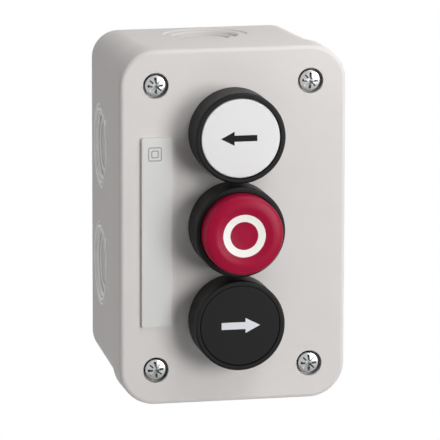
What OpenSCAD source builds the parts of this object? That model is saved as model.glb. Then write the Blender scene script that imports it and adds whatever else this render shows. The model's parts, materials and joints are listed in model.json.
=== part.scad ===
// Surface-mounted control station with three pushbuttons in a two-part moulded enclosure.
// The origin is the middle of the wall face. The front looks along -Y, +X is right, +Z is up.
// Each piece is drawn lying on the wall: its z is then the distance from the wall.

/* [Enclosure] */
// Width of the lid
box_w = 73; // [70:1:90]
// Distance from the middle of an outer button to the top or bottom edge of the lid
end_l = 27; // [26:0.5:40]
// Distance from the wall to the front of the lid
box_d = 62; // [60:1:80]
// Radius of the lid's corners, seen from the front
corner_r = 11.5; // [10.5:0.5:14]
// Rounding round the front of the lid
face_round = 1.5; // [1:0.1:3]
// Rounding round the rear edge of the lid, at the seam
seam_round = 0.5; // [0.2:0.1:0.8]
// Depth of the lid's sides
lid_d = 12.5; // [10:0.5:16]
// Thickness of the lid's front
lid_plate = 3; // [2.6:0.1:3.4]
// Thickness of the lid's sides
lid_side = 2.4; // [2:0.1:2.8]
// How far the base stands in from the lid at the seam
base_step = 0.9; // [0.6:0.1:1.2]
// Thickness of the base's sides
base_wall = 3.1; // [2.9:0.1:3.6]
// Thickness of the base's rear wall
rear_wall = 3; // [2.6:0.1:4]
// Taper of each upright side of the base, from the seam to the wall
draft_w = 1.8; // [1:0.1:2.4]
// Taper of the base's top and bottom, from the seam to the wall
draft_h = 2.2; // [1:0.1:2.6]
// Radius of the base's corners at the wall
rear_corner_r = 8.6; // [8:0.2:10]
// Rounding round the rear of the base
rear_round = 1.6; // [1:0.2:2]

/* [Seam and seal] */
// Width of the seal groove in the lid's edge
groove_w = 2.2; // [2:0.1:2.6]
// Depth of the seal groove
groove_d = 5; // [4:0.2:6]
// Thickness of the rib inside the groove
rib_t = 1.2; // [1:0.1:1.6]
// Thickness of the seal, front to back
seal_t = 1.6; // [1.2:0.1:2]
// Thickness of the base's tongue
tongue_t = 1.1; // [0.9:0.1:1.2]

/* [Lid screws] */
// Distance of the lid screws from the side edges of the lid
screw_side = 11.6; // [11:0.1:12]
// Distance of the lid screws from its top and bottom edges
screw_end = 11.3; // [10.8:0.1:12]
// Diameter of the screw's head
head_d = 6.8; // [6:0.1:7.2]
// Height of the screw's head
head_h = 2.4; // [2:0.1:2.6]
// Diameter of the screw's shank
shank_d = 4; // [3.5:0.1:4.2]
// Length of the screw under its head
shank_l = 22; // [18:1:26]
// Diameter of the pocket that the head sits in
pocket_d = 8.3; // [8:0.1:8.6]
// How far the head lies below the lid's face
head_sunk = 0.3; // [0.2:0.1:0.8]
// Diameter of the screw pillars
pillar_d = 9.6; // [9.2:0.2:10]

/* [Knock-outs] */
// Distance between the two knock-outs of a side
knock_pitch = 38.6; // [36:0.2:42]
// Distance of the knock-outs from the wall
knock_z = 19; // [18:0.5:22]
// Diameter of the knock-out disc, for a cable gland
knock_d = 20.4; // [16.4:0.2:20.6]
// Diameter of the flat seat round the disc
seat_d = 26.6; // [24:0.2:27]
// Depth of the flat seat
seat_dep = 0.4; // [0.3:0.1:0.6]
// Depth of the disc below the seat
knock_dep = 0.7; // [0.5:0.1:1.3]
// Diameter of the smaller disc inside it, for a smaller gland
small_d = 15.6; // [14:0.2:16.4]
// Depth of the smaller disc below the larger one
small_dep = 0.4; // [0.2:0.1:0.6]
// Width of the groove round each disc
score_w = 0.8; // [0.6:0.1:1]
// Thickness left where a disc breaks out
web_t = 0.6; // [0.4:0.1:0.8]

/* [Wall fixing] */
// Distance between the fixing holes, side to side
fix_dx = 28; // [24:1:29]
// Distance of the fixing holes from the top and bottom edges of the lid
fix_end = 12; // [11.5:0.5:14]
// Diameter of the fixing holes
fix_d = 6; // [4.5:0.1:6.2]

/* [Label plate] */
// Width of the label plate
label_w = 9.6; // [8:0.2:10]
// Height of the label plate
label_h = 60.8; // [50:0.2:66]
// Thickness of the label plate
label_t = 1.3; // [0.8:0.1:1.5]
// Depth of the recess that it is fixed in
label_dep = 0.3; // [0.2:0.1:0.4]
// Distance of the label plate's middle from the left edge of the lid
label_side = 11.7; // [11.5:0.1:12.5]

/* [Button heads] */
// Outer diameter of the collar's barrel
barrel_d = 22; // [21.8:0.05:22.1]
// Thickness of the barrel's wall
barrel_wall = 2; // [1.9:0.05:2.2]
// Width of the collar round the barrel
collar_w = 3.5; // [3.3:0.05:3.8]
// Gap between two collars
collar_gap = 1; // [0.6:0.1:5]
// Height of the collar over the lid
guard_h = 11; // [10:0.5:13]
// Thickness of the collar's guard round the cap
guard_wall = 1.55; // [1.4:0.05:1.7]
// Rounding of the collar's rim
rim_round = 0.7; // [0.4:0.1:0.9]
// Length of the barrel behind the lid's face
barrel_l = 20; // [19:0.5:20]
// Thickness of the barrel's floor
barrel_floor = 1.5; // [1.2:0.1:2]
// Thickness of the ring nut
nut_t = 5; // [4:0.5:6]
// Width of the ring nut round the barrel
nut_w = 2.7; // [2.2:0.1:3]
// Thickness of the seal under the collar
ring_seal_t = 0.8; // [0.6:0.1:1]
// How far a button travels when it is pressed
travel = 4; // [3:0.1:4.2]
// How far the flush caps lie below the rim
flush_sunk = 0.2; // [0:0.1:0.6]
// How far the stop button stands proud of the rim
stop_proud = 6; // [4:0.5:9]
// Thickness of a cap's face
cap_t = 2.8; // [2.4:0.1:3.2]
// Depth of the hollow in the face of the stop cap
stop_dip = 0.8; // [0.4:0.1:1]
// Radius of the crown round that hollow
crown_r = 9; // [6:0.5:12]
// Thickness of a cap's skirt
cap_skirt_t = 1.4; // [1.2:0.1:1.8]
// Wire of the return spring
return_wire = 0.9; // [0.7:0.05:1]
// Turns of the return spring
return_turns = 6; // [4:1:7]

/* [Contact blocks] */
// Length of the room for a terminal, from the divider to the block's end
term_room = 7.3; // [7:0.1:8]
// Height of a contact block
block_h = 20; // [19:0.5:24]
// Depth of a contact block
block_d = 26; // [26:0.5:30]
// Width of the chamber that the bridge moves in
chamber_w = 20; // [19.6:0.1:20.4]
// Height of that chamber
chamber_h = 8.6; // [8.4:0.1:9]
// Thickness of the wall between the chamber and a terminal
divider_t = 1.2; // [1:0.1:1.4]
// Thickness of the block's rear cover
cover_t = 1.2; // [1:0.1:1.4]
// Length of the contact bridge
bridge_l = 18.4; // [17.6:0.2:18.8]
// Width of the contact bridge
bridge_w = 4.8; // [4.4:0.1:5]
// Thickness of the contact bridge
bridge_t = 0.8; // [0.6:0.1:1]
// Diameter of the silver contacts
tip_d = 2.8; // [2.4:0.1:3.2]
// Height of the silver contacts
tip_h = 0.7; // [0.5:0.1:0.8]
// Gap between open contacts beyond the travel
contact_gap = 0.3; // [0.3:0.1:0.5]
// Thickness of the fixed contacts
blade_t = 1; // [0.8:0.1:1.1]
// Diameter of a terminal screw's head
term_head_d = 4.8; // [4.4:0.1:5]
// Diameter of a terminal screw's shank
term_shank_d = 3; // [2.5:0.1:3.2]
// Wire of the contact spring
contact_wire = 0.6; // [0.5:0.05:0.7]
// Turns of the contact spring
contact_turns = 6; // [4:1:8]

/* [Hidden] */
$fn = 96;
BUTTONS = ["white", "red", "black"];
PIECES = [
    "bezel", "seal", "nut", "cap", "plunger", "return_spring", "block", "block_cover",
    "carrier", "bridge", "contact_spring", "terminals", "terminal_screws"
];

// The red button is the stop: it stands proud, and its contacts are closed at rest
STOP = 1;
MIDDLE = (len(BUTTONS) - 1) / 2;
CAP_COLOURS = ["#e6e6e4", "#9e1a38", "#262626"];
shell_colour = "#d8d5d1";
black_plastic = "#2b2b2b";
grey_plastic = "#5c6064";
steel_colour = "#c2c4c6";
brass_colour = "#c9a24e";
rubber_colour = "#1d1d1d";
label_colour = "#d9dad8";

// Clearances, one overrun for all cuts, and the thin end slices of a drafted form
slide_gap = 0.3;
fit_gap = 0.15;
snug = 0.05;
over = 1;
skin = 0.02;
hull_fn = 48;
wire_sides = 6;
rings_per_turn = 8;

// Diameters that follow from the barrel, and the distance between the buttons
hole_d = barrel_d + 2 * fit_gap;
barrel_bore = barrel_d - 2 * barrel_wall;
bezel_d = barrel_d + 2 * collar_w;
guard_bore = bezel_d - 2 * guard_wall;
nut_d = barrel_d + 2 * nut_w;
pitch = bezel_d + collar_gap;

// The enclosure's height, and its planes from the wall
box_h = (len(BUTTONS) - 1) * pitch + 2 * end_l;
seam_z = box_d - lid_d;
plate_z = box_d - lid_plate;
pocket_z = box_d - head_sunk - head_h;

// Places of the screws, the fixing holes and the label plate
screw_dx = box_w - 2 * screw_side;
screw_dz = box_h - 2 * screw_end;
fix_dz = box_h - 2 * fix_end;
label_x = box_w / 2 - label_side;

// Insets of the seam's parts from the lid's side
groove_in = lid_side;
rib_in = groove_in + groove_w;
cavity_in = rib_in + rib_t;
tongue_in = groove_in + slide_gap;
tongue_h = groove_d - seal_t;

// Details of the base
round_steps = 4;
brace_t = 1.8;
brace_drop = 6;
brace_bury = 0.6;
floor_bury = 1.2;
pilot_d = shank_d + 2 * snug;
pilot_spare = 3;
rear_rim = 6;
rear_relief = 0.8;
fix_boss_t = 2;
fix_boss_h = 2;
pad_rim = 3.8;

// Details of a knock-out
pip_d = 1.8;
pip_h = 0.5;
pip_forward = 13.3;
pip_up = 9.9;

// Details of the lid and its screws
stiffener_t = 1.4;
stiffener_h = 2.6;
stiffener_x = 21.5;
stiffener_end = 2;
shank_gap = 0.25;
label_drop = 1.1;
label_corner_r = 0.6;
head_round = 0.5;
cross_w = 0.9;
cross_l = 4.2;
cross_dep = 1.5;
point_l = 2;

// Collar, cap and plunger, measured from the face of the lid, in front positive
key_w = 3;
key_h = 1.3;
seal_lip = 1.1;
seal_groove_d = bezel_d - 2 * seal_lip;
guard_floor_z = 2.4;
cap_d = guard_bore - 2 * slide_gap;
cap_skirt_z = guard_floor_z + travel + slide_gap;
flush_round = 0.5;
stop_round = 1.2;
stop_rim = 3.6;
stop_flat = 0.05;
socket_dep = 3;
plunger_rise = 1.2;
plunger_top_z = cap_skirt_z + plunger_rise;
plunger_d = barrel_bore - 2 * slide_gap;
socket_wall = 2.2;
cap_boss_d = plunger_d - 2 * socket_wall;
plunger_skirt_z = -9;
spring_seat_z = -3;
piston_wall = 1.3;
spring_room = 2.9;
spring_shift = 0.25;
spring_pocket_d = plunger_d - 2 * piston_wall;
stem_d = spring_pocket_d - 2 * spring_room;
stem_gap = 0.4;
stem_hole_d = stem_d + 2 * stem_gap;
barb_w = 0.9;
barb_d = stem_d + 2 * barb_w;
barb_t = 1.8;
barb_chamfer = 0.6;
barb_z = -barrel_l - slide_gap;
barb_end_z = barb_z - barb_t;
return_r = (stem_d + spring_room) / 2 + spring_shift;
latch_groove_z = -15;
latch_groove_w = 1.5;
latch_groove_dep = 0.7;
nut_notches = 6;
nut_notch_w = 3.2;
nut_notch_dep = 1.2;

// Contact block, measured from the face of the lid
block_w = chamber_w + 2 * (divider_t + term_room);
block_top_z = -barrel_l;
block_end_z = block_top_z - block_d;
block_bevel = 1.2;
cover_z = block_end_z + cover_t;
port_gap = 0.4;
port_d = barb_d + 2 * port_gap;
port_z = barb_end_z - travel - slide_gap;
chamber_rise = 0.8;
chamber_top_z = port_z + chamber_rise;
latch_t = 1.6;
latch_w = 6;
hook_w = 4;
hook_reach = 0.55;
latch_rise = 1.4;
latch_top_z = latch_groove_z + latch_rise;

// The carrier's window and what moves in it
frame_w = 7.6;
frame_h = chamber_h - 2 * slide_gap;
frame_bar = 2;
carrier_stem_w = 2;
carrier_stem_d = port_d - 2 * carrier_stem_w;
window_top_z = chamber_top_z - blade_t - 2 * tip_h;
window_end_z = cover_z + blade_t + 2 * tip_h + contact_gap + travel;
frame_top_z = window_top_z + frame_bar;
frame_end_z = cover_z + travel + slide_gap;
contact_r = 1.9;

// Fixed contacts and terminals
blade_w = 5;
tip_edge = 0.2;
tip_x = bridge_l / 2 - tip_d / 2 - tip_edge;
blade_x = tip_x - tip_d / 2 - tip_edge;
leg_x = chamber_w / 2 + divider_t + fit_gap;
pad_in = 4.2;
pad_z = block_end_z + pad_in;
pad_edge = 0.6;
pad_w = 6.4;
term_side = 3.5;
term_head_h = 2;
term_shank_l = 6;
term_slot_w = 0.8;
term_slot_dep = 0.9;
term_x = (leg_x + blade_t + block_w / 2 - pad_edge) / 2;

// Lays a piece on the wall: its z becomes the distance from the wall, toward the viewer
module from_wall() {
    rotate([90, 0, 0]) children();
}

// Moves a piece to button i, with its z measured from the face of the lid
module at_button(i) {
    from_wall() translate([0, (MIDDLE - i) * pitch, box_d]) children();
}

module at_corners(dx, dy) {
    for (x = [-dx / 2, dx / 2], y = [-dy / 2, dy / 2]) translate([x, y, 0]) children();
}

// Both ends of a contact block, the left one mirrored
module both_ends() {
    children();
    mirror([1, 0, 0]) children();
}

// A rectangle with round corners
module rounded(w, h, r) {
    square([w - 2 * r, h], center = true);
    square([w, h - 2 * r], center = true);
    at_corners(w - 2 * r, h - 2 * r) circle(r);
}

// The lid's outline drawn in by an inset
module lid_outline(inset) {
    rounded(box_w - 2 * inset, box_h - 2 * inset, corner_r - inset);
}

// A wall that follows the lid's outline between two insets
module lid_ring(inset, thickness, z, h) {
    translate([0, 0, z]) linear_extrude(h) difference() {
        lid_outline(inset);
        lid_outline(inset + thickness);
    }
}

// A cylinder between two heights
module disc(d, z1, z2) {
    translate([0, 0, z1]) cylinder(d = d, h = z2 - z1);
}

// A ring between two heights, its width measured inward from its diameter
module ring(d, w, z1, z2) {
    difference() {
        disc(d, z1, z2);
        disc(d - 2 * w, z1 - over, z2 + over);
    }
}

// A round recess down to a depth below the side, with a wall that slopes outward at 45 degrees
module pit(d, depth) {
    translate([0, 0, -depth]) cylinder(d1 = d, d2 = d + 2 * (depth + over), h = depth + over);
}

// A box centred on the axis between two heights
module bar(w, h, z1, z2) {
    translate([-w / 2, -h / 2, z1]) cube([w, h, z2 - z1]);
}

// A round helix of wire, standing on z = 0, as one tube: its rings of points, and ring k of n
function helix_rings(turns) = rings_per_turn * turns;
function helix_turn(k, turns, n) = 360 * turns * k / n;
function helix_ring(r, wire, l, turns, n, k) =
    let (
        a = helix_turn(k, turns, n),
        rise = (l - wire - 2 * snug) / n,
        step = 2 * PI * r * turns / n,
        out = [cos(a), sin(a), 0],
        up = [sin(a) * rise, -cos(a) * rise, step] / norm([rise, step])
    )
    [for (j = [0 : wire_sides - 1]) let (b = 360 * j / wire_sides)
        r * out + [0, 0, wire / 2 + snug + rise * k]
            + wire / 2 * (out * cos(b) + up * sin(b))];

// Least gap between the turns of such a spring, over points half a turn apart or more
function spring_gap(r, wire, l, turns) =
    let (
        n = helix_rings(turns),
        half = rings_per_turn / 2,
        rise = (l - wire - 2 * snug) / n,
        line = [for (k = [0 : n]) let (a = helix_turn(k, turns, n))
            [r * cos(a), r * sin(a), rise * k]]
    )
    min([for (j = [0 : n - half], k = [j + half : n]) norm(line[k] - line[j])]) - wire;

module spring(r, wire, l, turns) {
    n = helix_rings(turns);
    m = wire_sides;
    echo("least gap between the turns of a spring, in mm:", spring_gap(r, wire, l, turns));
    points = [for (k = [0 : n]) each helix_ring(r, wire, l, turns, n, k)];
    sides = [for (k = [0 : n - 1], j = [0 : m - 1]) let (a = m * k + j, b = m * k + (j + 1) % m)
        each [[a, a + m, b + m], [a, b + m, b]]];
    ends = [[for (j = [0 : m - 1]) j], [for (j = [m - 1 : -1 : 0]) m * n + j]];
    polyhedron(points = points, faces = concat(sides, ends));
}

// Share of the taper that is left at a distance from the wall
function taper(z) = 1 - z / seam_z;

// A slice of the base at z, drawn in by an inset from its outer face
module base_slice(z, inset) {
    side = base_step + inset;
    r = rear_corner_r + (corner_r - base_step - rear_corner_r) * (1 - taper(z)) - inset;
    translate([0, 0, z]) linear_extrude(skin) rounded(
        box_w - 2 * (side + draft_w * taper(z)),
        box_h - 2 * (side + draft_h * taper(z)),
        r,
        $fn = hull_fn
    );
}

// The base's outer form: drafted, with a round edge at the wall
module base_form() {
    hull() {
        for (k = [0 : round_steps]) let (a = 90 * k / round_steps)
            base_slice(rear_round * (1 - sin(a)), rear_round * (1 - cos(a)));
        base_slice(seam_z - skin, 0);
    }
}

// The base's hollow, which follows the same draft
module base_hollow() {
    hull() {
        base_slice(rear_wall, base_wall);
        base_slice(seam_z + over, base_wall);
    }
}

// Puts a feature on a side of the base at the knock-outs' depth, its z out of the side
module on_side(half, draft, along) {
    translate([-half + base_step + draft * taper(knock_z), along, knock_z])
        rotate([0, -90 - atan(draft / seam_z), 0]) children();
}

// The knock-outs: two in each upright side, one in the top and one in the bottom
module at_knock_outs() {
    both_ends() for (y = [-knock_pitch / 2, knock_pitch / 2])
        on_side(box_w / 2, draft_w, y) children();
    for (turn = [-90, 90]) rotate([0, 0, turn]) on_side(box_h / 2, draft_h, 0) children();
}

// What a knock-out takes out of the side: seat, two sunk discs and the grooves they break along
module knock_out_cut() {
    large = seat_dep + knock_dep;
    pit(seat_d, seat_dep);
    pit(knock_d, large);
    pit(small_d, large + small_dep);
    for (d = [knock_d, small_d]) ring(d, score_w, web_t - base_wall, skin - large);
}

// The moulded pip beside a side knock-out
module knock_out_pips() {
    both_ends() for (y = [-knock_pitch / 2, knock_pitch / 2]) on_side(box_w / 2, draft_w, y)
        translate([pip_forward, pip_up, 0]) disc(pip_d, -over, pip_h);
}

// Pillar for a lid screw, braced to both walls of its corner
module base_pillars() {
    reach_x = box_w / 2 - base_step - draft_w - brace_bury;
    reach_y = box_h / 2 - base_step - draft_h - brace_bury;
    brace_top = seam_z - brace_drop;
    at_corners(screw_dx, screw_dz) disc(pillar_d, rear_wall - floor_bury, seam_z);
    for (x = [-1, 1], y = [-1, 1]) scale([x, y, 1]) {
        translate([screw_dx / 2, screw_dz / 2 - brace_t / 2, rear_wall - floor_bury])
            cube([reach_x - screw_dx / 2, brace_t, brace_top - rear_wall]);
        translate([screw_dx / 2 - brace_t / 2, screw_dz / 2, rear_wall - floor_bury])
            cube([brace_t, reach_y - screw_dz / 2, brace_top - rear_wall]);
    }
}

module base_shell() {
    color(shell_colour) from_wall() difference() {
        union() {
            difference() {
                base_form();
                base_hollow();
            }
            base_pillars();
            at_corners(fix_dx, fix_dz)
                disc(fix_d + 2 * fix_boss_t, rear_wall - floor_bury, rear_wall + fix_boss_h);
            lid_ring(tongue_in, tongue_t, seam_z - over, tongue_h + over);
            knock_out_pips();
        }
        at_knock_outs() knock_out_cut();
        at_corners(fix_dx, fix_dz) disc(fix_d, -over, rear_wall + fix_boss_h + over);
        at_corners(screw_dx, screw_dz)
            disc(pilot_d, pocket_z - shank_l - pilot_spare, seam_z + over);
        difference() {
            translate([0, 0, -over]) linear_extrude(rear_relief + over)
                rounded(
                    box_w - 2 * (base_step + draft_w + rear_rim),
                    box_h - 2 * (base_step + draft_h + rear_rim),
                    rear_corner_r - rear_rim / 2
                );
            at_corners(fix_dx, fix_dz)
                disc(fix_d + 2 * pad_rim, -2 * over, rear_relief + over);
        }
    }
}

// The lid's section from a corner's centre: its side, with a round edge at the seam and in front
module lid_section() {
    square([corner_r - seam_round, lid_d - face_round]);
    square([corner_r - face_round, lid_d]);
    translate([0, seam_round]) square([corner_r, lid_d - face_round - seam_round]);
    translate([corner_r - seam_round, seam_round]) circle(seam_round);
    translate([corner_r - face_round, lid_d - face_round]) circle(face_round);
}

// The solid outside of the lid: a section swept round the corners and along the sides
module lid_form() {
    flat_w = box_w - 2 * corner_r;
    flat_h = box_h - 2 * corner_r;
    translate([0, 0, seam_z]) {
        bar(flat_w, flat_h, 0, lid_d);
        for (k = [0 : 3]) rotate([0, 0, 90 * k]) {
            w = k % 2 == 0 ? flat_w : flat_h;
            h = k % 2 == 0 ? flat_h : flat_w;
            translate([w / 2, h / 2, 0]) rotate_extrude(angle = 90) lid_section();
            translate([w / 2, h / 2, 0]) rotate([90, 0, 0]) linear_extrude(h) lid_section();
        }
    }
}

// The hole for a button head, with the notch that stops it turning
module head_hole() {
    disc(hole_d, -lid_plate - over, over);
    translate([0, barrel_d / 2, 0])
        bar(key_w + 2 * fit_gap, 2 * (key_h + fit_gap), -lid_plate - over, over);
}

module lid() {
    rib_l = screw_dz - pillar_d - 2 * stiffener_end;
    color(shell_colour) from_wall() difference() {
        union() {
            difference() {
                lid_form();
                translate([0, 0, seam_z - over]) linear_extrude(plate_z - seam_z + over)
                    lid_outline(cavity_in);
            }
            at_corners(screw_dx, screw_dz) disc(pillar_d, seam_z, plate_z + skin);
            for (x = [-stiffener_x, stiffener_x]) translate([x, 0, 0])
                bar(stiffener_t, rib_l, plate_z - stiffener_h, plate_z + skin);
        }
        lid_ring(groove_in, groove_w, seam_z - over, groove_d + over);
        for (i = [0 : len(BUTTONS) - 1]) translate([0, (MIDDLE - i) * pitch, box_d]) head_hole();
        at_corners(screw_dx, screw_dz) {
            disc(pocket_d, pocket_z, box_d + over);
            disc(shank_d + 2 * shank_gap, seam_z - over, box_d);
        }
        translate([-label_x, -label_drop, box_d - label_dep]) linear_extrude(label_dep + over)
            rounded(label_w + 2 * snug, label_h + 2 * snug, label_corner_r + snug);
    }
}

// The seal lies on the floor of the lid's groove, and the base's tongue presses on it
module lid_gasket() {
    color(rubber_colour) from_wall()
        lid_ring(groove_in + fit_gap, groove_w - 2 * fit_gap, seam_z + tongue_h, seal_t);
}

// The pan head's section, with a rounded upper edge
module head_section() {
    square([head_d / 2, head_h - head_round]);
    square([head_d / 2 - head_round, head_h]);
    translate([head_d / 2 - head_round, head_h - head_round]) circle(head_round);
}

module lid_screw() {
    difference() {
        rotate_extrude() head_section();
        for (turn = [0, 90]) rotate([0, 0, turn])
            bar(cross_l, cross_w, head_h - cross_dep, head_h + over);
    }
    disc(shank_d, point_l - shank_l, 0);
    translate([0, 0, -shank_l]) cylinder(d1 = shank_d / 2, d2 = shank_d, h = point_l);
}

module lid_screws() {
    color(steel_colour) from_wall() at_corners(screw_dx, screw_dz)
        translate([0, 0, pocket_z]) lid_screw();
}

module label_plate() {
    color(label_colour) from_wall() translate([-label_x, -label_drop, box_d - label_dep])
        linear_extrude(label_t) rounded(label_w, label_h, label_corner_r);
}

// The collar's section: guard, barrel with its floor, seal groove and latch groove
module bezel_section() {
    difference() {
        union() {
            square([bezel_d / 2, guard_h - rim_round]);
            square([bezel_d / 2 - rim_round, guard_h]);
            translate([bezel_d / 2 - rim_round, guard_h - rim_round]) circle(rim_round);
            translate([0, -barrel_l]) square([barrel_d / 2, barrel_l + over]);
        }
        translate([0, guard_floor_z]) square([guard_bore / 2, guard_h]);
        translate([0, barrel_floor - barrel_l]) square([barrel_bore / 2, barrel_l + guard_h]);
        translate([0, -barrel_l - over]) square([stem_hole_d / 2, barrel_l]);
        translate([barrel_d / 2, -over])
            square([(seal_groove_d - barrel_d) / 2, ring_seal_t + over]);
        translate([barrel_d / 2 - latch_groove_dep, latch_groove_z - latch_groove_w])
            square([latch_groove_dep + over, latch_groove_w]);
    }
}

module bezel() {
    color(black_plastic) {
        rotate_extrude() bezel_section();
        difference() {
            translate([0, barrel_d / 2, 0]) bar(key_w, 2 * key_h, fit_gap - lid_plate, 0);
            disc(barrel_d - 2 * snug, -lid_plate, over);
        }
    }
}

module ring_seal() {
    color(rubber_colour) difference() {
        disc(seal_groove_d - 2 * fit_gap, 0, ring_seal_t);
        disc(barrel_d + 2 * fit_gap, -over, ring_seal_t + over);
    }
}

module ring_nut() {
    color(grey_plastic) difference() {
        disc(nut_d, -lid_plate - nut_t, -lid_plate);
        disc(barrel_d + 2 * snug, -lid_plate - nut_t - over, over);
        for (k = [1 : nut_notches]) rotate([0, 0, 360 * k / nut_notches])
            translate([nut_d / 2, 0, 0])
                bar(2 * nut_notch_dep, nut_notch_w, -lid_plate - nut_t - over, over);
    }
}

// Front of a cap over the face of the lid
function cap_top(i) = guard_h + (i == STOP ? stop_proud : -flush_sunk);

// A flush cap's outer section, with a small round edge
module flush_outside(top) {
    translate([0, cap_skirt_z]) {
        square([cap_d / 2, top - flush_round - cap_skirt_z]);
        square([cap_d / 2 - flush_round, top - cap_skirt_z]);
    }
    translate([cap_d / 2 - flush_round, top - flush_round]) circle(flush_round);
}

// The stop cap's outer section: from a crest the face falls away outward in a crown that runs
// into the round edge, and inward in a shallow hollow with a small flat middle
module stop_outside(top) {
    crest = cap_d / 2 - stop_rim;
    edge_x = cap_d / 2 - stop_round;
    slope = asin((edge_x - crest) / (crown_r - stop_round));
    edge_y = top - crown_r + (crown_r - stop_round) * cos(slope);
    dip = stop_dip + stop_flat;
    dish_r = (crest * crest + dip * dip) / (2 * dip);
    difference() {
        union() {
            translate([0, cap_skirt_z]) square([cap_d / 2, edge_y - cap_skirt_z]);
            translate([edge_x, edge_y]) circle(stop_round);
            intersection() {
                translate([0, edge_y - stop_round])
                    square([crest + crown_r * sin(slope), top - edge_y + stop_round]);
                union() {
                    translate([crest, top - crown_r]) circle(crown_r);
                    translate([0, edge_y - stop_round]) square([crest, top - edge_y + stop_round]);
                }
            }
        }
        intersection() {
            translate([0, top - dip + dish_r]) circle(dish_r);
            translate([0, top - stop_dip]) square([crest, stop_dip + over]);
        }
    }
}

// A cap: a face with a round edge, a skirt inside the guard and a boss in the plunger
module cap(i) {
    top = cap_top(i);
    boss_z = plunger_top_z - socket_dep;
    color(CAP_COLOURS[i]) rotate_extrude() {
        difference() {
            if (i == STOP) stop_outside(top); else flush_outside(top);
            translate([cap_boss_d / 2, cap_skirt_z - over]) square([
                cap_d / 2 - cap_skirt_t - cap_boss_d / 2,
                top - cap_t - cap_skirt_z + over
            ]);
        }
        translate([0, boss_z]) square([cap_boss_d / 2, top - boss_z - cap_t]);
    }
}

// The plunger's section: piston with its spring pocket, stem and barbed end
module plunger_section() {
    difference() {
        translate([0, plunger_skirt_z])
            square([plunger_d / 2, plunger_top_z - plunger_skirt_z]);
        translate([0, plunger_top_z - socket_dep])
            square([cap_boss_d / 2 + snug, socket_dep + over]);
        translate([stem_d / 2, plunger_skirt_z - over])
            square([(spring_pocket_d - stem_d) / 2, spring_seat_z - plunger_skirt_z + over]);
    }
    translate([0, barb_end_z]) square([stem_d / 2, plunger_skirt_z - barb_end_z + skin]);
    polygon([
        [0, barb_end_z],
        [barb_d / 2 - barb_chamfer, barb_end_z],
        [barb_d / 2, barb_end_z + barb_chamfer],
        [barb_d / 2, barb_z],
        [0, barb_z]
    ]);
}

module plunger() {
    color(grey_plastic) rotate_extrude() plunger_section();
}

// The return spring stands on the barrel's floor and pushes the plunger forward
module return_spring() {
    color(steel_colour) translate([0, 0, barrel_floor - barrel_l])
        spring(return_r, return_wire, spring_seat_z + barrel_l - barrel_floor, return_turns);
}

// Where the blades of the fixed contacts lie: in front of the bridge or behind it
function blade_z(i) = i == STOP ? chamber_top_z - blade_t : cover_z;

// An arm of the block that hooks into the groove of the barrel
module latch() {
    translate([barrel_d / 2 + fit_gap, -latch_w / 2, block_top_z - block_bevel])
        cube([latch_t, latch_w, latch_top_z - block_top_z + block_bevel]);
    translate([
        barrel_d / 2 + fit_gap - hook_reach,
        -hook_w / 2,
        latch_groove_z - latch_groove_w + fit_gap
    ])
        cube([hook_reach + skin, hook_w, latch_groove_w - 2 * fit_gap]);
}

// The block's outline seen from its side, with bevelled front edges
module block_outline() {
    half = block_h / 2;
    polygon([
        [-half, block_end_z],
        [half, block_end_z],
        [half, block_top_z - block_bevel],
        [half - block_bevel, block_top_z],
        [block_bevel - half, block_top_z],
        [-half, block_top_z - block_bevel]
    ]);
}

// Room for a terminal: open to the rear and outward, with a way in for the blade and its leg
module terminal_cut(i) {
    inner_x = chamber_w / 2 + divider_t;
    slot_h = blade_w + 2 * fit_gap;
    room_h = block_h - 2 * term_side;
    translate([inner_x, -room_h / 2, block_end_z - over])
        cube([block_w / 2 - inner_x + over, room_h, pad_z + blade_t - block_end_z + over]);
    translate([chamber_w / 2 - skin, -slot_h / 2, blade_z(i) - (i == STOP ? fit_gap : 0)])
        cube([divider_t + 2 * skin, slot_h, blade_t + fit_gap]);
    if (i == STOP) translate([inner_x, -slot_h / 2, pad_z])
        cube([blade_t + 2 * fit_gap, slot_h, chamber_top_z - pad_z]);
    translate([term_x, 0, 0])
        disc(term_shank_d + 2 * fit_gap, pad_z, pad_z + term_shank_l + fit_gap);
}

module block(i) {
    color(black_plastic) {
        difference() {
            rotate([90, 0, 90]) translate([0, 0, -block_w / 2])
                linear_extrude(block_w) block_outline();
            disc(port_d, port_z, block_top_z + over);
            bar(chamber_w, chamber_h, block_end_z - over, chamber_top_z);
            both_ends() terminal_cut(i);
        }
        both_ends() latch();
    }
}

module block_cover() {
    color(grey_plastic)
        bar(chamber_w - 2 * fit_gap, chamber_h - 2 * fit_gap, block_end_z, cover_z);
}

// The carrier: a round stem under the plunger and a frame whose window holds the bridge
module carrier() {
    color(grey_plastic) {
        disc(carrier_stem_d, frame_top_z - skin, barb_end_z);
        difference() {
            bar(frame_w, frame_h, frame_end_z, frame_top_z);
            bar(frame_w + 2 * over, bridge_w + 2 * fit_gap, window_end_z, window_top_z);
        }
    }
}

// The bridge lies at the window's front end on the stop button, and at its rear end on the others
function bridge_z(i) = i == STOP ? window_top_z - bridge_t : window_end_z;

module bridge(i) {
    z = bridge_z(i);
    tip_z = i == STOP ? z + bridge_t - skin : z - tip_h;
    color(brass_colour) {
        bar(bridge_l, bridge_w, z, z + bridge_t);
        both_ends() translate([tip_x, 0, 0]) disc(tip_d, tip_z, tip_z + tip_h + skin);
    }
}

// The contact spring fills the rest of the window and presses the bridge toward its contacts
module contact_spring(i) {
    l = window_top_z - window_end_z - bridge_t;
    z = window_end_z + (i == STOP ? 0 : bridge_t);
    color(steel_colour) translate([0, 0, z]) spring(contact_r, contact_wire, l, contact_turns);
}

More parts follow.
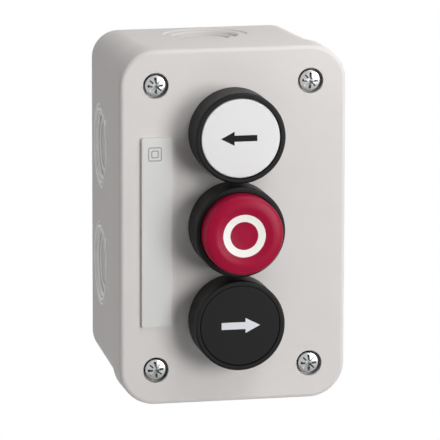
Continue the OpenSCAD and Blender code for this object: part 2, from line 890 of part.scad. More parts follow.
// One fixed contact: a blade with its silver contact, a leg through the divider and a screw pad
module terminal(i) {
    z = blade_z(i);
    tip_z = i == STOP ? z - tip_h : z + blade_t - skin;
    leg_z = min(z, pad_z);
    leg_top_z = max(z, pad_z) + blade_t;
    translate([blade_x, -blade_w / 2, z]) cube([leg_x + blade_t - blade_x, blade_w, blade_t]);
    translate([tip_x, 0, 0]) disc(tip_d, tip_z, tip_z + tip_h + skin);
    translate([leg_x, -blade_w / 2, leg_z]) cube([blade_t, blade_w, leg_top_z - leg_z]);
    difference() {
        translate([leg_x, -pad_w / 2, pad_z])
            cube([block_w / 2 - pad_edge - leg_x, pad_w, blade_t]);
        translate([term_x, 0, 0]) disc(term_shank_d + 2 * snug, pad_z - over, pad_z + 2 * over);
    }
}

module terminals(i) {
    color(brass_colour) both_ends() terminal(i);
}

module terminal_screws() {
    color(steel_colour) both_ends() translate([term_x, 0, 0]) {
        difference() {
            disc(term_head_d, pad_z - term_head_h, pad_z);
            bar(term_head_d + over, term_slot_w, pad_z - term_head_h - over,
                pad_z - term_head_h + term_slot_dep);
        }
        disc(term_shank_d, pad_z - skin, pad_z + term_shank_l);
    }
}

base_shell();
lid();
lid_gasket();
lid_screws();
label_plate();
for (i = [0 : len(BUTTONS) - 1]) {
    at_button(i) bezel();
    at_button(i) ring_seal();
    at_button(i) ring_nut();
    at_button(i) cap(i);
    at_button(i) plunger();
    at_button(i) return_spring();
    at_button(i) block(i);
    at_button(i) block_cover();
    at_button(i) carrier();
    at_button(i) bridge(i);
    at_button(i) contact_spring(i);
    at_button(i) terminals(i);
    at_button(i) terminal_screws();
}
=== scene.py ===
"""Looks of the pushbutton control station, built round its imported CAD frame."""

import json
from math import asin, cos, pi, radians, sin, sqrt

import bmesh
import bpy
from mathutils import Matrix, Vector


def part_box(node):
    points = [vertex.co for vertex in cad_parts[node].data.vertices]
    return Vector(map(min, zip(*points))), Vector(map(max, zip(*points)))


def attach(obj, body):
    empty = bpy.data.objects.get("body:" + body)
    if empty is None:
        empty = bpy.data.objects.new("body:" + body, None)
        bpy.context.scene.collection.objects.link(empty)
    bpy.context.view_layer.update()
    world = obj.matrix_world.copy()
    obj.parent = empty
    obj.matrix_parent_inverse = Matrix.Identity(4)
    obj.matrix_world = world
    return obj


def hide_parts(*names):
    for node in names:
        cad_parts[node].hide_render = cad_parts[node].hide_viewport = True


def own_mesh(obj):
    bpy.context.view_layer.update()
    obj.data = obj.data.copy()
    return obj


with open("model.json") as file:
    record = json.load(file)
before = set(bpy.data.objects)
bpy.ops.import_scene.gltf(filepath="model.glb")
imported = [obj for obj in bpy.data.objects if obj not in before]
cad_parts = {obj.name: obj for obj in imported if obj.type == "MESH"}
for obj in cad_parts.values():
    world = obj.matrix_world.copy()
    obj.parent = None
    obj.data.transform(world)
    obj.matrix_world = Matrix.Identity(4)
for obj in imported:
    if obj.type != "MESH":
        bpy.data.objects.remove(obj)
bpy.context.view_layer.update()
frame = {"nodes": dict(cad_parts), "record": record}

RECORD = frame["record"]
MM = 0.001
FRONT = Vector((0, -1, 0))
UP = Vector((0, 0, 1))
BODY_OF = {node: body for body, nodes in RECORD["behaviour"]["bodies"].items() for node in nodes}
SLOT_OF = {part["node"]: part["material_slot"] for part in RECORD["subparts"]}

# Finished copies of CAD nodes: points closer than this are one, and faces flatter are joined
MERGE_MM = 0.002
FLAT_DEG = 0.4
# Edges sharper than this are rounded, in so many steps, and stay sharp in the shading
SHARP_DEG = 26
EDGE_STEPS = 2
# Width of the edge rounding, in mm, by the end of the node's name; the rest have the last one
EDGE_MM = {"base_shell": 0.1, "lid": 0.2, "label_plate": 0.12, "_bezel": 0.15}
INNER_EDGE_MM = 0.12

# Steps of a full turn: turned pieces and screws
ROUND_STEPS = 144
SCREW_STEPS = 64

# Button caps, in mm: radius, skirt and boss as in the CAD, heights from the lid's face
CAP_R = 12.65
CAP_SKIRT_T = 1.4
CAP_FACE_T = 2.8
CAP_BOSS_R = 6.5
CAP_SKIRT_H = 6.7
CAP_BOSS_H = 4.9
# Flat caps: radius and edge rounding. The black one's gap shows less, as in the photograph.
FLUSH_CAPS = {"white": (CAP_R, 0.5), "black": (12.8, 0.25)}
# The stop cap, from its side inward: rounding of the edge, crown whose crest is STOP_RIM from the
# side, and hollow, whose floor is flat because its curve would reach STOP_FLAT deeper
STOP_ROUND = 1.2
STOP_RIM = 3.6
CROWN_R = 9
STOP_DIP = 0.8
STOP_FLAT = 0.05
STOP_CROWN_STEPS = 10
HOLLOW_STEPS = 16

# Marks, in mm: how far they stand proud and how deep they reach
INK_RISE = 0.03
INK_DEPTH = 0.25
# Arrows: ends of tail, neck and tip from the cap's middle, width of the shaft and of the head
WHITE_CAP_ARROW = (5.3, -2.0, -6.3, 1.95, 4.5)
BLACK_CAP_ARROW = (-6.0, 1.7, 6.4, 2.25, 4.85)
# The stop ring: outer and inner radius, and points across it
RING_OUTER = 6.8
RING_INNER = 4.48
RING_STEPS = 8
# The sign: distance from the label's left and upper edge, width of its line, and its two squares
# as width, height and corner radius
SIGN_LEFT = 4.2
SIGN_DOWN = 5.2
SIGN_LINE = 0.34
SIGN_SQUARES = ((4.4, 4.5, 0.7), (2.4, 2.45, 0.5))
CORNER_STEPS = 6

# Side knock-outs, in mm, as in the CAD: distance from the wall and from the middle of the height,
# the base's side there, how much it leans toward the wall, and the depth of the seat
KNOCK_DEPTH = 19
KNOCK_UP = 19.3
SIDE_X = 34.49
SIDE_SLOPE = 1.8 / 49.5
SEAT_DEPTH = 0.4
# The raised rim on each seat: middle radius, half width, height over the seat and depth under it,
# and points across it
RIM_R = 11.9
RIM_W = 0.45
RIM_H = 0.65
RIM_SUNK = 0.25
RIM_STEPS = 8
# Faces that take the polished material with its painted light lie within this reach of the middle
# and this near to the side, and are either slopes, which face outward by a share in SLOPE_RANGE,
# or higher than the side, as the pips are
PAINTED_LIGHT_REACH = 18
PAINTED_LIGHT_DEPTH = 2
SLOPE_RANGE = (0.1, 0.98)
PIP_FROM = 0.2

# Lid screws, in mm: the head, and its crown, which runs into the edge's rounding at EDGE_FROM_DEG,
# lifted by HEAD_LIP to meet it
HEAD_R = 3.4
HEAD_H = 2.4
HEAD_CROWN = 0.45
HEAD_ROUND = 0.45
HEAD_LIP = 0.08
EDGE_FROM_DEG = 70
CROWN_STEPS = 8
# Shank: plain for a while, then down to the core, with a point as long as PLAIN_L
SHANK_R = 1.97
CORE_R = 1.5
SHANK_L = 22
PLAIN_L = 2
NECK_L = 3
# Thread: pitch, start below the head, turns, steps a turn, how deep it lies in the core, and half
# its width at the root and at the crest
THREAD_PITCH = 1.4
THREAD_START = 4.0
THREAD_TURNS = 11
THREAD_STEPS = 20
THREAD_BURY = 0.1
THREAD_ROOT = 0.5
THREAD_CREST = 0.08
# How each screw is turned, in radians: upper left, upper right, lower left, lower right
SCREW_TURNS = (0.04, -0.06, 0.1, 0.02)
# Wings of the cross recess, and the nicks between them: length, width, depth, and share of the
# length and the width that is left at that depth
BLADES = 8
RECESS_DEPTH = 1.5
WING = (2.75, 0.85, RECESS_DEPTH, 0.6)
NICK = (2.8, 0.5, 0.45, 0.8)
# The cone in their middle: how far it reaches below the wings, radius at its end and its mouth
CONE_BELOW = 0.4
CONE_END_R = 0.55
CONE_MOUTH_R = 1.25
CONE_STEPS = 24
# How far the cutter stands out of the head
OVER = 0.6
# Painted shade in the recess: it starts this far below the face, and is half nearer to the axis
# than
# DARK_R. Further out it is full on the upper left side and in a band across, both as shares of
# the distance from the axis. The head's flank, which faces the front by less than FLANK_LEAN,
# gets full painted shade too.
DARK_FROM = 0.08
DARK_R = 1.25
DARK_SIDE = 0.5
DARK_BAND = 0.3
FLANK_LEAN = 0.5


# Colours and nodes

# The range that noise mostly stays in, and how far it takes the roughness of a surface
NOISE_LOW = 0.3
NOISE_HIGH = 0.7
PLASTIC_GLOSS = (0.92, 1.08)
METAL_GLOSS = (0.8, 1.25)


def srgb(code):
    """The linear colour of an sRGB code such as "#d8d5d1"."""
    parts = [int(code[k:k + 2], 16) / 255 for k in (1, 3, 5)]
    return tuple(p / 12.92 if p <= 0.04045 else ((p + 0.055) / 1.055) ** 2.4 for p in parts) + (1,)


def add_node(tree, kind, settings=None, sockets=None):
    """A node with its settings and its sockets: a value, or another node's output."""
    node = tree.nodes.new(kind)
    for key, value in (settings or {}).items():
        setattr(node, key, value)
    for key, value in (sockets or {}).items():
        if isinstance(value, bpy.types.NodeSocket):
            tree.links.new(value, node.inputs[key])
        else:
            node.inputs[key].default_value = value
    return node


def new_material(name):
    """An empty material and its Principled node."""
    material = bpy.data.materials.new(name)
    material.use_nodes = True
    tree = material.node_tree
    tree.nodes.clear()
    shader = add_node(tree, "ShaderNodeBsdfPrincipled")
    add_node(tree, "ShaderNodeOutputMaterial", sockets={"Surface": shader.outputs["BSDF"]})
    return material, tree, shader


def noise(tree, size_mm, detail=3.0, roughness=0.55):
    """Noise over the object's own coordinates with grains of this size."""
    coords = add_node(tree, "ShaderNodeTexCoord")
    return add_node(tree, "ShaderNodeTexNoise", sockets={
        "Vector": coords.outputs["Object"],
        "Scale": 1 / (size_mm * MM),
        "Detail": detail,
        "Roughness": roughness,
    })


def spread(tree, source, low, high):
    """Noise brought from its usual range into the range low to high."""
    return add_node(tree, "ShaderNodeMapRange", sockets={
        "Value": source, "From Min": NOISE_LOW, "From Max": NOISE_HIGH,
        "To Min": low, "To Max": high,
    }).outputs["Result"]


def plastic(name, code, rough, specular, grain_mm, relief_mm, mottle=0.0, mottle_mm=9.0):
    """A moulded plastic: fine grain in relief, uneven gloss and a faint mottle in its colour."""
    material, tree, shader = new_material(name)
    grain = noise(tree, grain_mm, detail=4.0, roughness=0.6)
    relief = add_node(tree, "ShaderNodeBump", sockets={
        "Strength": 1.0,
        "Distance": relief_mm * MM,
        "Height": grain.outputs["Fac"],
    })
    patch = noise(tree, mottle_mm, detail=2.0)
    shade = spread(tree, patch.outputs["Fac"], 1 - mottle, 1 + mottle)
    colour = add_node(tree, "ShaderNodeVectorMath", {"operation": "SCALE"}, {
        "Vector": srgb(code)[:3], "Scale": shade,
    })
    tree.links.new(colour.outputs["Vector"], shader.inputs["Base Color"])
    gloss = spread(tree, grain.outputs["Fac"], *(rough * share for share in PLASTIC_GLOSS))
    tree.links.new(gloss, shader.inputs["Roughness"])
    tree.links.new(relief.outputs["Normal"], shader.inputs["Normal"])
    shader.inputs["Specular IOR Level"].default_value = specular
    return material


def metal(name, code, rough, scratch_mm, relief_mm):
    """A plated or drawn metal with fine unevenness."""
    material, tree, shader = new_material(name)
    shader.inputs["Base Color"].default_value = srgb(code)
    shader.inputs["Metallic"].default_value = 1.0
    grain = noise(tree, scratch_mm, detail=5.0)
    gloss = spread(tree, grain.outputs["Fac"], *(rough * share for share in METAL_GLOSS))
    tree.links.new(gloss, shader.inputs["Roughness"])
    relief = add_node(tree, "ShaderNodeBump", sockets={
        "Strength": 1.0, "Distance": relief_mm * MM, "Height": grain.outputs["Fac"],
    })
    tree.links.new(relief.outputs["Normal"], shader.inputs["Normal"])
    return material


# Satin polycarbonate of the enclosure, light warm grey
SHELL = plastic("moulded_polycarbonate", "#e6e2e0",
                rough=0.65, specular=0.22, grain_mm=0.6, relief_mm=0.012, mottle=0.008)
# The same, less rough, on the knock-outs' rims, slopes and pips, with a lighter colour that is
# painted light, so that they look lit
RIM = plastic("polished_polycarbonate_painted_light", "#fbfaf8",
              rough=0.35, specular=0.6, grain_mm=0.6, relief_mm=0.003)
# Smoother, slightly cooler plate on the lid
LABEL = plastic("label_polycarbonate", "#e4e4e2",
                rough=0.42, specular=0.45, grain_mm=0.8, relief_mm=0.002, mottle=0.004)
# Black polyamide of the collars, with a dull eroded face that takes no sharp highlight
COLLAR = plastic("black_polyamide", "#101010",
                 rough=0.44, specular=0.16, grain_mm=0.35, relief_mm=0.012, mottle=0.08)
# Acetal of the caps: smooth and a little waxy, so each colour stays deep
WHITE_CAP = plastic("white_acetal", "#eeeeee",
                    rough=0.36, specular=0.42, grain_mm=0.5, relief_mm=0.002)
RED_CAP = plastic("crimson_acetal", "#a50d37",
                  rough=0.34, specular=0.14, grain_mm=0.5, relief_mm=0.002)
BLACK_CAP = plastic("black_acetal", "#161616",
                    rough=0.36, specular=0.15, grain_mm=0.5, relief_mm=0.003)
# Marks moulded into the caps and printed on the plate
BLACK_MARK = plastic("black_mark", "#101010",
                     rough=0.4, specular=0.12, grain_mm=0.5, relief_mm=0.001)
WHITE_MARK = plastic("white_mark", "#e6e8ee",
                     rough=0.4, specular=0.4, grain_mm=0.5, relief_mm=0.001)
CREAM_MARK = plastic("cream_mark", "#fffef8",
                     rough=0.4, specular=0.4, grain_mm=0.5, relief_mm=0.001)
GREY_MARK = plastic("grey_print", "#a4a5a8",
                    rough=0.5, specular=0.3, grain_mm=0.5, relief_mm=0.001)
# Inside, seen only in a cut: grey polyamide with a matt grain, the black one of the contact
# blocks, a little mottled by its glass fibre, and dull rubber
GREY_POLYAMIDE = plastic("grey_polyamide", "#5c6064",
                         rough=0.45, specular=0.4, grain_mm=0.4, relief_mm=0.006, mottle=0.03)
BLOCK = plastic("black_block_polyamide", "#262627",
                rough=0.42, specular=0.35, grain_mm=0.4, relief_mm=0.006, mottle=0.04)
RUBBER = plastic("black_rubber", "#1d1d1d",
                 rough=0.75, specular=0.25, grain_mm=0.5, relief_mm=0.01, mottle=0.05)
# Zinc-plated steel of screws and springs: bright, with fine unevenness
STEEL = metal("zinc_plated_steel", "#b6b8b8", rough=0.2, scratch_mm=0.35, relief_mm=0.004)
# Painted shade on steel, full and half: the flank of a screw's head and the walls of its recess
PAINTED_SHADE_STEEL = metal("steel_painted_shade", "#343434", rough=0.4, scratch_mm=0.35, relief_mm=0.004)
PAINTED_HALF_SHADE_STEEL = metal("steel_painted_half_shade", "#a8aaaa", rough=0.3, scratch_mm=0.35, relief_mm=0.004)
# Brass stamped from sheet: warm and less bright
BRASS = metal("stamped_brass", "#cfa75a", rough=0.3, scratch_mm=0.3, relief_mm=0.003)

MATERIAL_OF = {
    "shell": SHELL, "label": LABEL, "collar": COLLAR, "white_cap": WHITE_CAP,
    "red_cap": RED_CAP, "black_cap": BLACK_CAP, "grey_plastic": GREY_POLYAMIDE,
    "block": BLOCK, "rubber": RUBBER, "steel": STEEL, "brass": BRASS,
}


# Building pieces

def scaled(bm, factor):
    """Scales a mesh about the origin."""
    bmesh.ops.scale(bm, vec=(factor,) * 3, verts=bm.verts)


def soften(bm, width):
    """Rounds the sharp edges of a mesh in mm."""
    bmesh.ops.recalc_face_normals(bm, faces=bm.faces)
    edges = [e for e in bm.edges
             if len(e.link_faces) == 2 and e.calc_face_angle(0) > radians(SHARP_DEG)]
    bmesh.ops.bevel(bm, geom=edges, offset=width, offset_type="OFFSET", segments=EDGE_STEPS,
                    profile=0.5, affect="EDGES", clamp_overlap=True, material=-1)


def merged_copy(node):
    """The CAD node's mesh in mm, merged."""
    bm = bmesh.new()
    bm.from_mesh(frame["nodes"][node].data)
    scaled(bm, 1 / MM)
    bmesh.ops.remove_doubles(bm, verts=bm.verts, dist=MERGE_MM)
    return bm


def finished_copy(node, width):
    """The CAD node's mesh in mm, merged, with its sharp edges rounded."""
    bm = merged_copy(node)
    bmesh.ops.dissolve_limit(bm, angle_limit=radians(FLAT_DEG), verts=bm.verts, edges=bm.edges)
    soften(bm, width)
    return bm


def add_piece(name, bm, materials, body, replaced=None):
    """Makes a mesh in mm into a piece that rides on a body."""
    scaled(bm, MM)
    mesh = bpy.data.meshes.new(name)
    bm.to_mesh(mesh)
    bm.free()
    for material in materials:
        mesh.materials.append(material)
    mesh.shade_smooth()
    mesh.set_sharp_from_angle(angle=radians(SHARP_DEG))
    piece = bpy.data.objects.new(name, mesh)
    bpy.context.collection.objects.link(piece)
    weighting = piece.modifiers.new("weighted_normals", "WEIGHTED_NORMAL")
    weighting.keep_sharp = True
    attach(piece, body)
    if replaced:
        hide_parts(replaced)
    return piece


def arc(x, y, r, start, end, steps=8):
    """Points on a circle between two angles in degrees."""
    angles = [radians(start + (end - start) * k / steps) for k in range(steps + 1)]
    return [(x + r * cos(a), y + r * sin(a)) for a in angles]


def revolved(section, centre, axis=FRONT, closed=False, steps=ROUND_STEPS):
    """A section of (radius, height) turned about a level axis, along which heights run, in mm."""
    bm = bmesh.new()
    across = UP.cross(axis)
    points = [bm.verts.new(Vector(centre) + across * r + axis * h) for r, h in section]
    pairs = list(zip(points, points[1:])) + ([(points[-1], points[0])] if closed else [])
    edges = [bm.edges.new(pair) for pair in pairs]
    bmesh.ops.spin(bm, geom=points + edges, cent=centre, axis=axis, angle=-2 * pi,
                   steps=steps, use_merge=True)
    bmesh.ops.remove_doubles(bm, verts=bm.verts, dist=MERGE_MM)
    bmesh.ops.recalc_face_normals(bm, faces=bm.faces)
    return bm


def slab(outlines, front, back):
    """Flat shapes in (x, z), each an outline or a pair of outer and inner, between two depths."""
    bm = bmesh.new()
    for lines in outlines:
        edges = []
        for line in lines:
            points = [bm.verts.new((x, front, z)) for x, z in line]
            edges += [bm.edges.new(pair) for pair in zip(points, points[1:] + points[:1])]
        if len(lines) > 1:
            faces = bmesh.ops.bridge_loops(bm, edges=edges)["faces"]
        else:
            faces = [bm.faces.new(points)]
        grown = bmesh.ops.extrude_face_region(bm, geom=faces)["geom"]
        bmesh.ops.translate(bm, vec=(0, back - front, 0),
                            verts=[part for part in grown if isinstance(part, bmesh.types.BMVert)])
    bmesh.ops.recalc_face_normals(bm, faces=bm.faces)
    return bm


# Buttons

def in_mm(node):
    """Lowest and highest corner of a CAD node in mm, and its middle."""
    low, high = (Vector(corner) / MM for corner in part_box(node))
    return low, high, (low + high) / 2


def inner_section(top, r):
    """The rest of a cap's section: skirt, back of the face and boss."""
    inner_r = CAP_R - CAP_SKIRT_T
    return [
        (r, CAP_SKIRT_H), (inner_r, CAP_SKIRT_H), (inner_r, top - CAP_FACE_T),
        (CAP_BOSS_R, top - CAP_FACE_T), (CAP_BOSS_R, CAP_BOSS_H), (0, CAP_BOSS_H),
    ]


def dish(r, top):
    """Height of the stop cap's hollow at a radius."""
    crest = CAP_R - STOP_RIM
    dip = STOP_DIP + STOP_FLAT
    radius = (crest ** 2 + dip ** 2) / (2 * dip)
    return max(top - STOP_DIP, top - dip + radius - sqrt(radius ** 2 - r ** 2))


def flush_section(top, r, edge_round):
    """Section of a flat cap."""
    return ([(0, top), (r / 2, top)]
            + arc(r - edge_round, top - edge_round, edge_round, 90, 0)
            + inner_section(top, r))


def stop_section(top):
    """Section of the stop cap: a hollow, a crown round it and a rounded edge."""
    crest = CAP_R - STOP_RIM
    edge_x = CAP_R - STOP_ROUND
    slope = asin((edge_x - crest) / (CROWN_R - STOP_ROUND))
    edge_y = top - CROWN_R + (CROWN_R - STOP_ROUND) * cos(slope)
    turn = 90 - slope * 180 / pi
    radii = [crest * k / HOLLOW_STEPS for k in range(HOLLOW_STEPS)]
    hollow = [(r, dish(r, top)) for r in radii]
    return (hollow + arc(crest, top - CROWN_R, CROWN_R, 90, turn, STOP_CROWN_STEPS)
            + arc(edge_x, edge_y, STOP_ROUND, turn, 0)[1:] + inner_section(top, CAP_R))


def add_cap(colour, lid_face):
    """A cap and the place of its face."""
    node = colour + "_cap"
    low, _, middle = in_mm(node)
    top = lid_face - low.y
    flush = colour in FLUSH_CAPS
    section = flush_section(top, *FLUSH_CAPS[colour]) if flush else stop_section(top)
    bm = revolved(section, (middle.x, lid_face, middle.z))
    add_piece(node + "_turned", bm, [MATERIAL_OF[SLOT_OF[node]]], BODY_OF[node],
              node)
    return middle, low.y, top


def arrow(tail, neck, tip, shaft_w, head_w, middle):
    """Outline of an arrow along x, its points measured from the cap's middle."""
    points = [
        (tail, -shaft_w / 2), (neck, -shaft_w / 2), (neck, -head_w / 2), (tip, 0),
        (neck, head_w / 2), (neck, shaft_w / 2), (tail, shaft_w / 2),
    ]
    return [(middle.x + x, middle.z + z) for x, z in points]


def add_arrow(colour, material, outline, face):
    """The arrow inlaid in the face of a flat cap."""
    bm = slab([(outline,)], face - INK_RISE, face + INK_DEPTH)
    add_piece(colour + "_arrow", bm, [material], BODY_OF[colour + "_cap"])


def add_stop_ring(middle, lid_face, top):
    """The ring inlaid in the hollow of the stop cap."""
    radii = [RING_INNER + (RING_OUTER - RING_INNER) * k / RING_STEPS
             for k in range(RING_STEPS + 1)]
    section = ([(r, dish(r, top) + INK_RISE) for r in radii]
               + [(r, dish(r, top) - INK_DEPTH) for r in (RING_OUTER, RING_INNER)])
    bm = revolved(section, (middle.x, lid_face, middle.z), closed=True)
    add_piece("red_ring", bm, [CREAM_MARK], BODY_OF["red_cap"])


# Knock-outs

def knock_outs():
    """Middle of each side knock-out on the base's side, and the side's outward direction."""
    for way in (-1, 1):
        out = Vector((way, SIDE_SLOPE, 0)).normalized()
        for z in (-KNOCK_UP, KNOCK_UP):
            yield Vector((way * SIDE_X, -KNOCK_DEPTH, z)), out


def polish_and_paint_light_on_knock_outs(bm):
    """Gives the slopes and pips of the side knock-outs the polished material with painted light,
    the second one.
    """
    for middle, out in knock_outs():
        for face in bm.faces:
            reach = face.calc_center_median() - middle
            near = abs(reach.dot(out)) < PAINTED_LIGHT_DEPTH and reach.length < PAINTED_LIGHT_REACH
            slope = face.normal.dot(out)
            sloped = SLOPE_RANGE[0] < slope < SLOPE_RANGE[1]
            if near and (sloped or reach.dot(out) > PIP_FROM):
                face.material_index = 1


def add_rims():
    """The raised rims of the side knock-outs, in the polished material with painted light."""
    angles = [pi * k / RIM_STEPS for k in range(RIM_STEPS + 1)]
    section = [(RIM_R + RIM_W * cos(a), RIM_H * sin(a) - SEAT_DEPTH) for a in angles]
    section += [(RIM_R + way * RIM_W, -SEAT_DEPTH - RIM_SUNK) for way in (-1, 1)]
    for index, (middle, out) in enumerate(knock_outs(), 1):
        add_piece("knock_out_rim_%d" % index, revolved(section, middle, out, closed=True), [RIM],
                  BODY_OF["base_shell"])


# Label plate

def rounded_square(x, z, w, h, r):
    """Outline of a square with round corners."""
    points = []
    for turn, (sx, sz) in enumerate(((1, 1), (-1, 1), (-1, -1), (1, -1))):
        points += arc(x + sx * (w / 2 - r), z + sz * (h / 2 - r), r, 90 * turn, 90 * turn + 90,
                      CORNER_STEPS)
    return points


def add_sign():
    """The generic sign of double insulation: two squares with round corners."""
    low, high, _ = in_mm("label_plate")
    x, z = low.x + SIGN_LEFT, high.z - SIGN_DOWN
    frames = [
        (rounded_square(x, z, w, h, r),
         rounded_square(x, z, w - 2 * SIGN_LINE, h - 2 * SIGN_LINE, r / 2))
        for w, h, r in SIGN_SQUARES
    ]
    bm = slab(frames, low.y - INK_RISE, low.y + INK_DEPTH)
    add_piece("insulation_sign", bm, [GREY_MARK], BODY_OF["label_plate"])


# Lid screws

def head_section():
    """Section of a pan head with a slight crown."""
    crown = [(HEAD_R * k / CROWN_STEPS, HEAD_H - HEAD_CROWN * (k / CROWN_STEPS) ** 2)
             for k in range(CROWN_STEPS - 1)]
    edge_r = HEAD_R - HEAD_ROUND
    edge_h = HEAD_H - HEAD_CROWN - HEAD_ROUND + HEAD_LIP
    return (crown + arc(edge_r, edge_h, HEAD_ROUND, EDGE_FROM_DEG, 0)
            + [(HEAD_R, 0), (SHANK_R, 0)])


def shank_section():
    """Core of the shank with its point."""
    return [(SHANK_R, 0), (SHANK_R, -PLAIN_L), (CORE_R, -NECK_L),
            (CORE_R, PLAIN_L - SHANK_L), (0, -SHANK_L)]


def cross_cutter(centre, top, turn):
    """The cross recess: four tapered wings round a cone, and four shallow nicks between them."""
    bm = bmesh.new()
    for k in range(BLADES):
        length, width, depth, share = NICK if k % 2 else WING
        spin = Matrix.Rotation(radians(360 / BLADES * k) + turn, 3, "Z")
        for corner in bmesh.ops.create_cube(bm, size=1)["verts"]:
            x, y, z = corner.co
            h = OVER if z > 0 else -depth
            part = 1 + (1 - share) * h / depth
            corner.co = spin @ Vector(((x + 0.5) * length * part, y * width * part, h))
    low = RECESS_DEPTH + CONE_BELOW
    bmesh.ops.create_cone(bm, cap_ends=True, segments=CONE_STEPS, radius1=CONE_END_R,
                          radius2=CONE_MOUTH_R, depth=low + OVER,
                          matrix=Matrix.Translation((0, 0, (OVER - low) / 2)))
    # From height along z to depth along -y
    lay = Matrix.Translation((centre.x, top, centre.z)) @ Matrix.Rotation(pi / 2, 4, "X")
    bmesh.ops.transform(bm, matrix=lay, verts=bm.verts)
    bmesh.ops.recalc_face_normals(bm, faces=bm.faces)
    scaled(bm, MM)
    mesh = bpy.data.meshes.new("recess")
    bm.to_mesh(mesh)
    bm.free()
    cutter = bpy.data.objects.new("recess", mesh)
    bpy.context.collection.objects.link(cutter)
    return cutter


def thread(centre, seat):
    """The thread's ridge round the core, swept along a helix."""
    bm = bmesh.new()
    root_r = CORE_R - THREAD_BURY
    ridge = [(root_r, -THREAD_ROOT), (SHANK_R, -THREAD_CREST), (SHANK_R, THREAD_CREST),
             (root_r, THREAD_ROOT)]
    points = [bm.verts.new((centre.x + r, seat + THREAD_START + h, centre.z)) for r, h in ridge]
    face = bm.faces.new(points)
    bmesh.ops.spin(bm, geom=[face] + face.edges[:] + points, cent=(centre.x, 0, centre.z),
                   axis=(0, 1, 0), dvec=(0, THREAD_PITCH / THREAD_STEPS, 0),
                   angle=2 * pi * THREAD_TURNS, steps=THREAD_STEPS * THREAD_TURNS,
                   use_merge=False)
    return bm


def steel_of(face, centre):
    """Bright steel, or steel with painted shade where a screw's recess and its head's flank would
    lie in shade.
    """
    place = face.center / MM - centre
    r = sqrt(place.x ** 2 + place.z ** 2)
    depth = HEAD_H - HEAD_CROWN * (r / HEAD_R) ** 2 + place.y
    if r < NICK[0] and DARK_FROM < depth < HEAD_H - DARK_FROM:
        if r < DARK_R:
            return PAINTED_HALF_SHADE_STEEL
        side, band = place.z - place.x, abs(place.z + place.x)
        return PAINTED_SHADE_STEEL if side > DARK_SIDE * r or band < DARK_BAND * r else STEEL
    flank = r > HEAD_R - DARK_FROM and abs(face.normal.y) < FLANK_LEAN
    return PAINTED_SHADE_STEEL if flank else STEEL


def add_screw(index, x, z, seat, turn):
    """A lid screw with its head's underside at the depth seat."""
    centre = Vector((x, seat, z))
    steels = [STEEL, PAINTED_SHADE_STEEL, PAINTED_HALF_SHADE_STEEL]
    bm = revolved(head_section() + shank_section()[1:], centre, steps=SCREW_STEPS)
    screw = add_piece("lid_screw_%d" % index, bm, steels, BODY_OF["lid_screws"],
                      "lid_screws")
    carve(screw, cross_cutter(centre, seat - HEAD_H, turn))
    # The recess walls and the head's flank take the steels with painted shade
    for face in screw.data.polygons:
        face.material_index = steels.index(steel_of(face, centre))
    add_piece("screw_thread_%d" % index, thread(centre, seat), [STEEL], BODY_OF["lid_screws"])


def carve(piece, cutter):
    """Cuts one mesh out of another for good."""
    cut = piece.modifiers.new("cut", "BOOLEAN")
    cut.operation, cut.object, cut.solver = "DIFFERENCE", cutter, "EXACT"
    cut.use_self = True
    piece.modifiers.remove(piece.modifiers["weighted_normals"])
    result = bpy.data.meshes.new_from_object(
        piece.evaluated_get(bpy.context.evaluated_depsgraph_get()))
    piece.modifiers.clear()
    piece.data = result
    result.shade_smooth()
    result.set_sharp_from_angle(angle=radians(SHARP_DEG))
    bpy.data.objects.remove(cutter)


# The object

def edge_width(node):
    """Width of a node's edge rounding."""
    for key, width in EDGE_MM.items():
        if node.endswith(key):
            return width
    return INNER_EDGE_MM


def add_return_springs():
    """Copies of the springs that a press shortens towards their fixed end, merged; nothing here
    shortens them.
    """
    for joint in RECORD["behaviour"]["joints"]:
        for entry in joint["deforming_nodes"]:
            node, end_y = entry["node"], entry["fixed_end_y_m"]
            spring = add_piece(node + "_wound", merged_copy(node), [STEEL], BODY_OF[node],
                               node)
            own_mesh(spring)


def add_finished_nodes():
    """Copies of the CAD nodes with rounded edges; the contact springs stay as they are."""
    remade = {colour + part for colour in ("white", "red", "black")
              for part in ("_cap", "_return_spring")} | {"lid_screws"}
    for node, body in BODY_OF.items():
        material = MATERIAL_OF[SLOT_OF[node]]
        if node.endswith("contact_spring"):
            for slot in frame["nodes"][node].material_slots:
                slot.material = material
        elif node not in remade:
            bm = finished_copy(node, edge_width(node))
            materials = [material]
            if node == "base_shell":
                # The knock-outs' slopes and pips take the polished material with painted light
                polish_and_paint_light_on_knock_outs(bm)
                materials.append(RIM)
            add_piece(node + "_finished", bm, materials, body, node)


def add_buttons():
    """Caps and their marks."""
    lid_face = in_mm("lid")[0].y
    middle, face, _ = add_cap("white", lid_face)
    add_arrow("white", BLACK_MARK, arrow(*WHITE_CAP_ARROW, middle), face)
    middle, face, _ = add_cap("black", lid_face)
    add_arrow("black", WHITE_MARK, arrow(*BLACK_CAP_ARROW, middle), face)
    middle, _, top = add_cap("red", lid_face)
    add_stop_ring(middle, lid_face, top)


def add_screws():
    """A screw in each corner of the lid."""
    low, high, _ = in_mm("lid_screws")
    places = [(x, z) for z in (high.z - HEAD_R, low.z + HEAD_R)
              for x in (low.x + HEAD_R, high.x - HEAD_R)]
    for index, ((x, z), turn) in enumerate(zip(places, SCREW_TURNS), 1):
        add_screw(index, x, z, low.y + HEAD_H, turn)


add_finished_nodes()
add_return_springs()
add_buttons()
add_rims()
add_sign()
add_screws()


# Floor, light and camera, in metres and watts

FLOOR_LEVEL = -0.28
FLOOR_R = 0.55
FLOOR_GLOW = 0.6
FLOOR_STEPS = 96

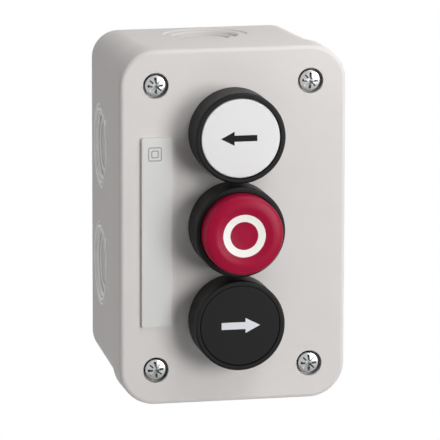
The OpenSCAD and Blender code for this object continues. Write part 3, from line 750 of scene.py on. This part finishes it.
# Where the lights look, and each light: direction, distance, width and height, power
LIGHT_TARGET = (0, -0.03, 0)
LIGHTS = {
    "key": ((0.5, -0.8, 0.09), 0.8, (0.35, 0.42), 3.7),
    "upper_front": ((0.4, -0.45, 0.75), 0.4, (0.3, 0.2), 0.78),
    "upper_rear": ((-0.1, 0.3, 1.0), 0.8, (0.6, 0.3), 1.4),
    "left": ((-1.0, -0.25, 0.15), 0.8, (0.4, 0.6), 1.6),
    "rear": ((0.5, 1.0, -0.1), 0.8, (0.6, 0.6), 2.4),
}

# The camera: angles in degrees, distance in metres from the middle of the lid's face, how far
# beside that it aims, in mm, and its lens and sensor in mm
CAMERA_AZIMUTH = -12.292
CAMERA_ELEVATION = 11.437
CAMERA_ROLL = 0.13
CAMERA_DISTANCE = 1.5
AIM_RIGHT = 4.153
AIM_UP = -1.83
LENS = 388.1
SENSOR = 36


def add_floor():
    """A pale round floor well below the object, out of the main view."""
    bm = bmesh.new()
    bmesh.ops.create_circle(bm, cap_ends=True, segments=FLOOR_STEPS, radius=FLOOR_R,
                            matrix=Matrix.Translation((0, 0, FLOOR_LEVEL)))
    mesh = bpy.data.meshes.new("floor")
    bm.to_mesh(mesh)
    bm.free()
    material, tree, shader = new_material("pale_floor")
    shader.inputs["Base Color"].default_value = srgb("#f2f2f2")
    shader.inputs["Roughness"].default_value = 0.9
    # Seen pale from above and below, without lighting the object from there
    shader.inputs["Emission Color"].default_value = (1, 1, 1, 1)
    seen = add_node(tree, "ShaderNodeLightPath").outputs["Is Camera Ray"]
    glow = add_node(tree, "ShaderNodeMath", {"operation": "MULTIPLY"}, {0: seen, 1: FLOOR_GLOW})
    tree.links.new(glow.outputs[0], shader.inputs["Emission Strength"])
    mesh.materials.append(material)
    floor = bpy.data.objects.new("floor", mesh)
    bpy.context.collection.objects.link(floor)


def add_light(name, direction, distance, size, power):
    """A soft white rectangle of light that looks at the target from a direction."""
    data = bpy.data.lights.new(name, "AREA")
    data.shape, data.size, data.size_y = "RECTANGLE", size[0], size[1]
    data.energy = power
    light = bpy.data.objects.new(name, data)
    out = Vector(direction).normalized()
    light.location = Vector(LIGHT_TARGET) + out * distance
    light.rotation_euler = out.to_track_quat("Z", "Y").to_euler()
    bpy.context.collection.objects.link(light)


def add_world():
    """No light of its own, but plain white where the camera or a reflection looks past."""
    world = bpy.data.worlds.new("studio")
    bpy.context.scene.world = world
    world.use_nodes = True
    tree = world.node_tree
    tree.nodes.clear()
    path = add_node(tree, "ShaderNodeLightPath")
    seen = path.outputs["Is Camera Ray"]
    for ray in ("Is Glossy Ray", "Is Transmission Ray"):
        seen = add_node(tree, "ShaderNodeMath", {"operation": "MAXIMUM"},
                        {0: seen, 1: path.outputs[ray]}).outputs[0]
    dark, white = [add_node(tree, "ShaderNodeBackground", sockets={
        "Color": (1, 1, 1, 1), "Strength": strength}) for strength in (0.0, 1.0)]
    mix = add_node(tree, "ShaderNodeMixShader", sockets={
        0: seen, 1: dark.outputs[0], 2: white.outputs[0]})
    add_node(tree, "ShaderNodeOutputWorld", sockets={"Surface": mix.outputs[0]})


def add_camera():
    """The camera that sees the object as the photograph does."""
    azimuth, elevation = radians(CAMERA_AZIMUTH), radians(CAMERA_ELEVATION)
    roll = radians(CAMERA_ROLL)
    back = Vector((sin(azimuth) * cos(elevation), -cos(azimuth) * cos(elevation),
                   sin(elevation)))
    right = (-back).cross(UP).normalized()
    up = right.cross(-back)
    side = cos(roll) * right + sin(roll) * up
    rise = cos(roll) * up - sin(roll) * right
    data = bpy.data.cameras.new("camera")
    data.lens, data.sensor_width = LENS, SENSOR
    camera = bpy.data.objects.new("camera", data)
    lid_face = Vector((0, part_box("lid")[0][1], 0))
    place = (lid_face + CAMERA_DISTANCE * back
             - AIM_RIGHT * MM * side - AIM_UP * MM * rise)
    camera.matrix_world = Matrix.Translation(place) @ Matrix(
        (side, rise, back)).transposed().to_4x4()
    bpy.context.collection.objects.link(camera)
    bpy.context.scene.camera = camera


add_floor()
add_world()
for name, light in LIGHTS.items():
    add_light(name, *light)
add_camera()

bpy.context.scene.view_settings.view_transform = "Standard"
